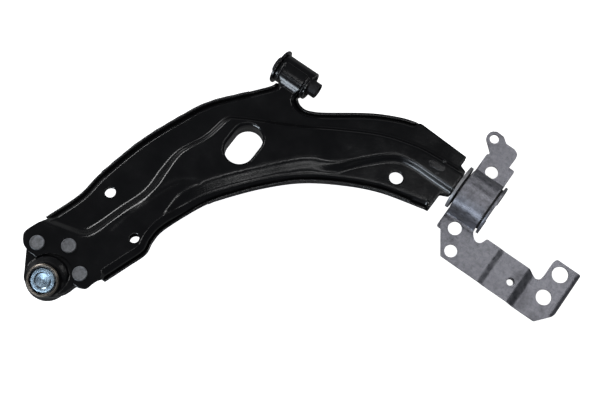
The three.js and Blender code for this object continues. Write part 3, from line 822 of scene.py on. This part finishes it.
ON_AXIS = HINGE @ ALONG_X


def turned_ring(inner, outer, start, end):
    return [(inner, start), (outer, start), (outer, end), (inner, end)]


TURNED = (
    ("front_eye", turned_ring(12.2, 15.0, -13.9, 21.5), 0.7, "arm", "coated_steel", COAT),
    ("front_bush_shell", [(10.5, -17.0), (17.5, -17.0), (18.3, -16.2), (18.3, -14.4), (11.9, -14.4),
                          (11.9, 20.5), (10.5, 20.5)], 0.5, "arm", "coated_steel", COAT),
    ("front_bush_rubber", [(8.3, -16.4), (10.2, -15.4), (10.2, 19.1), (8.3, 20.9)], 0.6, "arm", "rubber",
     RUBBER),
    ("front_bush_sleeve", turned_ring(6.1, 8.0, -21.0, 30.5), 0.5, "front_sleeve", "sleeve_steel", SLEEVE),
    ("rear_bush_disc", turned_ring(9.1, 23.2, 200.4, 203.6), 0.7, "arm", "disc_steel", DISC),
    ("rear_bush_sleeve", turned_ring(9.1, 11.6, 205.2, 239.4), 0.4, "arm", "sleeve_steel", SLEEVE),
    ("rear_pin", [(0, 150), (6.8, 150), (8.8, 153), (8.8, 238), (6.8, 240), (0, 240)], 0.6, "arm",
     "coated_steel", COAT),
)
for node, profile, corner, body, slot_name, material in TURNED:
    settle(lathe(node + "_turned", profile, ON_AXIS, corner), body, slot_name, material, node)

# ---- ball joint ---------------------------------------------------------------------------------------

settle(softened("ball_housing_forging", "ball_housing", 0.6, 8), "arm", "housing_steel", HOUSING,
       "ball_housing")
BALL_JOINT = (
    ("ball_housing_rim", [(12.65, 15.5), (13.1, 16.25), (14.7, 16.55), (15.75, 15.8), (15.95, 14.4),
                          (15.1, 14.2), (14.6, 15.2), (13.2, 15.2)], 0.3, "arm", "housing_steel", RIM, ()),
    ("ball_cover_cap", [(0, 12.8), (6, 12.8), (7, 13), (13.6, 13), (13.6, 14.1), (12.1, 14.3),
                        (11.6, 15.2), (8.2, 15.2), (6.8, 14.1), (3.0, 13.9), (0, 13.7)], 0.6, "arm",
     "zinc_plate", ZINC, ("ball_cover",)),
    ("ball_stud_turned", [(0, 12.5)] + [(12.5 * math.cos(t), 12.5 * math.sin(t))
                                        for t in np.linspace(1.45, -0.92, 16)]
     + [(7, -13), (7, -18), (9, -22), (9, -44), (7.6, -46.5), (7.6, -49.5), (9, -52), (9, -62.6),
        (7.4, -64.4), (0, -64.4)], 0.7, "stud", "stud_steel", STUD, ("ball_stud",)),
    ("boot_base_ring_turned", turned_ring(18.9, 20.2, -13, -11), 0.4, "arm", "ring_steel", RING,
     ("boot_base_ring",)),
    ("boot_neck_ring_turned", turned_ring(11.6, 12.7, -29.8, -27.6), 0.4, "boot_neck", "ring_steel", RING,
     ("boot_neck_ring",)),
)
for name, profile, corner, body, slot_name, material, nodes in BALL_JOINT:
    settle(lathe(name, profile, JOINT, corner), body, slot_name, material, *nodes)

BOOT_UPPER = [(17.4, -10.8), (18.6, -10.8), (18.6, -13.4), (19.9, -14.6), (20.8, -16.6), (20.7, -18.6),
              (19.6, -20.6), (18.0, -20.0), (18.6, -17.6), (18.2, -15.6), (17.4, -14.4)]
BOOT_LOWER = [(19.6, -20.6), (17.6, -22.6), (15, -24.3), (14.0, -25.6), (12.0, -26.4), (11.4, -27.2),
              (11.3, -30.3), (9.4, -30.3), (9.4, -25.6), (12.6, -23.5), (14.2, -22.6), (18.0, -20.0)]


upper = lathe("dust_boot_upper", BOOT_UPPER, JOINT, 0.5)
settle(upper, None, "rubber", RUBBER, "dust_boot")
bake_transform(upper)
lower = lathe("dust_boot_lower", BOOT_LOWER, JOINT, 0.5)
settle(lower, None, "rubber", RUBBER, "dust_boot")
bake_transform(lower)

RIVET_PROFILE = [(0, 2.8), (6.6, 2.8), (6.6, 6.0), (4, 6.0), (4, 14.1), (7.3, 14.1), (7.3, 15.6),
                 (6.8, 16.4), (6.2, 16.4), (5.7, 15.9), (0, 16.1)]
for index, (x, y) in enumerate(RIVETS):
    node = f"ball_rivet_{index + 1}"
    here = ARM @ Matrix.Translation((x, y, 0))
    settle(lathe(node + "_head", RIVET_PROFILE, here, 0.5, 48), "arm", "rivet_steel", RIVET, node)

# ---- rear bush and bracket -----------------------------------------------------------------------------

STRAP_FROM, STRAP_TO, FOOT = 206.0, 237.5, -12.6
OUTER = 24.7
FILLET = 2.2
FLAT_FROM = 241.0


def d_loop(radius, flat, corner):
    points = np.vstack([[[-radius, flat], [radius, flat]], arc(0, 0, radius, 0, 180, 40)])
    return even(rounded(points, corner), 1.2)


ACROSS = HINGE @ Matrix(((0, 0, 1, 0), (1, 0, 0, 0), (0, 1, 0, 0), (0, 0, 0, 1)))


def hole_loop(radius, x=0, y=0, step=1.2):
    return even(arc(x, y, radius, 0, 360, 60)[:-1], step)


settle(prism("rear_bush_rubber_block", [d_loop(21.6, -15.1, 1.5), hole_loop(11.9)], 205.2, 239.4,
             ACROSS, 0.8), "rear_bracket", "rubber", RUBBER, "rear_bush_rubber")
settle(prism("rear_bush_end_plate", [d_loop(25.4, -15.3, 2), hole_loop(18.0)], 239.7, 242.3,
             ACROSS, 0.6), "rear_bracket", "phosphated_steel", PHOSPHATE, "rear_bush_end_ring")

BRACKET_HOLES = ((202, 64.6, 4.7), (219.1, 34.4, 6.6), (221.1, -33.9, 6.9), (230.6, -54.9, 6.4),
                 (295.2, -46.3, 4.2), (331.2, -11.6, 8.2), (330.3, -39.5, 7.8))


def omega():
    """The strap's outer face across the arm, from the upper tab over the arch to the lower tab."""
    leg = OUTER + FILLET
    right = [(75.0, FOOT), (leg, FOOT)]
    fillet = [(leg - FILLET * math.sin(t), FOOT + FILLET * (1 - math.cos(t)))
              for t in np.linspace(0.1, math.pi / 2, 9)]
    arch = [(OUTER * math.cos(t), OUTER * math.sin(t)) for t in np.linspace(0, math.pi, 60)]
    half = right + fillet
    return np.array(half + arch + [(-y, z) for y, z in half[::-1]])


def along(line):
    return np.r_[0, np.cumsum(np.linalg.norm(np.diff(line, axis=0), axis=1))]


def stepped():
    """The stepped arm's outer face along X: two joggles and a turned-down lip."""
    bends = [(190, 0), (268, 0), (274, -1.9), (303, -1.9), (310, -5.8), (347.0, -5.8), (349.2, -11.7)]
    return rounded(bends, 5.0, closed=False, count=9)


def strap():
    section, run = omega(), stepped()
    s = along(section)
    middle = s[-1] / 2
    u = along(run) + 190.0
    tab_at = 75.0 - middle

    def shift(points, sign):
        return np.array([(x, y - sign * tab_at) for x, y in points])

    upper = shift(np.vstack([
        [[STRAP_FROM, 31], [204.5, 41]], spline([[206.5, 50], [202, 54], [194.6, 61], [194.8, 68.5],
                                                 [200, 72.6]]),
        [[208.5, 72], [214.5, 67.3]], spline([[224.5, 67.3], [229.5, 64.5], [230.8, 60]]),
        [[230.5, 48], [STRAP_TO, 31]]]), 1)
    end = 349.5 + (u[-1] - 349.2)
    lower = shift(np.vstack([
        [[STRAP_TO, -24]], spline([[238.2, -27], [240.5, -30], [245, -33], [250, -31.5], [253, -24.5]]),
        [[304, -24.5]], spline([[314.5, -28.8], [318, -27.5], [320, -22], [320.2, -4], [322.5, -0.5]]),
        [[end - 2.4, -0.5], [end - 1.6, -46.5], [336.5, -65], [225, -65], [STRAP_FROM - 0.6, -36],
         [STRAP_FROM, -30]]]), -1)
    outline = even(rounded(np.vstack([upper, lower]), 1.2), 1.3)
    loops = [outline]
    for x, y, radius in BRACKET_HOLES:
        at = np.interp(x, run[:, 0], u)
        sign = 1 if y > 0 else -1
        loops.append(hole_loop(radius, at, y - sign * tab_at, 1.1))
    flat, triangles = triangulate(loops, 2.0)

    def bent(points, below):
        where = middle - points[:, 1]
        y, z = (np.interp(where, s, section[:, i]) for i in (0, 1))
        dy, dz = (np.interp(where, s, np.gradient(section[:, i], s)) for i in (0, 1))
        normal = unit(np.stack([dz, -dy], 1))
        beyond = points[:, 0] > FLAT_FROM
        y, z = np.where(beyond, points[:, 1] - tab_at, y), np.where(beyond, FOOT, z)
        normal[beyond] = (0, 1)
        x = np.interp(points[:, 0], u, run[:, 0])
        drop = np.interp(points[:, 0], u, run[:, 1])
        dx, dd = (np.interp(points[:, 0], u, np.gradient(run[:, i], u)) for i in (0, 1))
        tilt = unit(np.stack([-dd, dx], 1))
        face = np.stack([tilt[:, 0], normal[:, 0] * tilt[:, 1], normal[:, 1] * tilt[:, 1]], 1)
        return np.stack([x, y, z + drop], 1) - face * below

    obj = walled("bracket_strap_pressing", bent(flat, 0.0), bent(flat, SHEET), triangles, HINGE)
    return bevelled(obj, 0.45, 2, 50)


settle(strap(), "rear_bracket", "phosphated_steel", PHOSPHATE, "bracket_strap")
base = even(rounded([(204.4, -41.5), (237.2, -41.5), (237.2, 49.2), (204.4, 49.2)], 2), 2)
base_holes = [hole_loop(radius + 1, x, y) for x, y, radius in BRACKET_HOLES[1:3]]
settle(prism("bracket_base_plate", [base] + base_holes, -18.3, -15.7, HINGE, 0.4),
       "rear_bracket", "phosphated_steel", PHOSPHATE, "bracket_base")

for node, material in (("ball_seat", SEAT), ("bracket_nut", PHOSPHATE)):
    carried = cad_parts[node]
    carried.data.materials.clear()
    carried.data.materials.append(material)

# ---- floor, lights and camera ---------------------------------------------------------------------------


def floor():
    n = Nodes("floor")
    shade = n.noise(3, 2)
    seen = n.tree.nodes.new("ShaderNodeLightPath").outputs["Is Camera Ray"]
    n.finish(n.mix(seen, (0.22, 0.22, 0.22), (0.88, 0.88, 0.88)), n.ramp(shade, 0.0, 0.8, 1.0, 0.9))
    n.shader.inputs["Emission Color"].default_value = (1.0, 1.0, 1.0, 1.0)
    n.join(n.ramp(seen, 0.0, 0.05, 1.0, 0.95), n.shader.inputs["Emission Strength"])
    behind = n.tree.nodes.new("ShaderNodeNewGeometry").outputs["Backfacing"]
    n.join(n.ramp(behind, 0.0, 1.0, 1.0, 0.0), n.shader.inputs["Alpha"])
    size = 20.0
    mesh = bpy.data.meshes.new("floor")
    mesh.from_pydata([(-size, -size, 0), (size, -size, 0), (size, size, 0), (-size, size, 0)], [],
                     [(0, 1, 2, 3)])
    obj = bpy.data.objects.new("floor", mesh)
    bpy.context.scene.collection.objects.link(obj)
    mesh.materials.append(n.material)


def softbox(name, place, size, power, turn=0.0, colour=(1.0, 1.0, 1.0)):
    """An area light that faces the middle of the object, turned about its own axis by degrees."""
    light = bpy.data.lights.new(name, "AREA")
    light.shape = "RECTANGLE"
    light.size, light.size_y = size
    light.energy = power
    light.color = colour
    obj = bpy.data.objects.new(name, light)
    obj.location = place
    aim = (-Vector(place)).to_track_quat("-Z", "Y").to_matrix().to_4x4()
    obj.rotation_euler = (aim @ Matrix.Rotation(math.radians(turn), 4, "Z")).to_euler()
    bpy.context.scene.collection.objects.link(obj)


def camera():
    right = Vector((0.81116, 0.58362, -0.03757))
    up = Vector((-0.56365, 0.79730, 0.21590))
    back = Vector((0.15595, -0.15395, 0.97569))
    data = bpy.data.cameras.new("camera")
    data.lens = 73.91
    data.sensor_width = 36.0
    data.clip_start = 0.05
    obj = bpy.data.objects.new("camera", data)
    turn = Matrix((right, up, back)).transposed().to_4x4()
    obj.matrix_world = Matrix.Translation(HINGE @ Vector((271.1, -288.7, 1188.4))) @ turn
    bpy.context.scene.collection.objects.link(obj)
    bpy.context.scene.camera = obj


floor()
softbox("crest", (0.0, -0.35, 1.65), (1.1, 0.16), 2.6, 35.7)
softbox("bend", (0.65, -1.05, 1.5), (1.4, 0.14), 2.2)
softbox("bracket", (0.3, 0.6, 1.6), (0.42, 0.34), 3.2)
softbox("low_front", (-0.4, -1.8, 0.5), (1.2, 0.3), 16, 0.0, (0.8, 0.9, 1.0))
softbox("cover", (-0.22, -1.35, 1.6), (0.4, 0.3), 3, 0.0, (0.85, 0.93, 1.0))
softbox("left", (-1.5, 0.3, 0.95), (1.0, 0.25), 11)
softbox("back", (0.7, 1.6, 1.0), (1.2, 0.3), 6)
world = bpy.data.worlds.new("studio")
world.use_nodes = True
world.node_tree.nodes["Background"].inputs["Color"].default_value = (0.88, 0.93, 1.0, 1.0)
world.node_tree.nodes["Background"].inputs["Strength"].default_value = 0.08
bpy.context.scene.world = world
bpy.context.scene.view_settings.view_transform = "Standard"
camera()
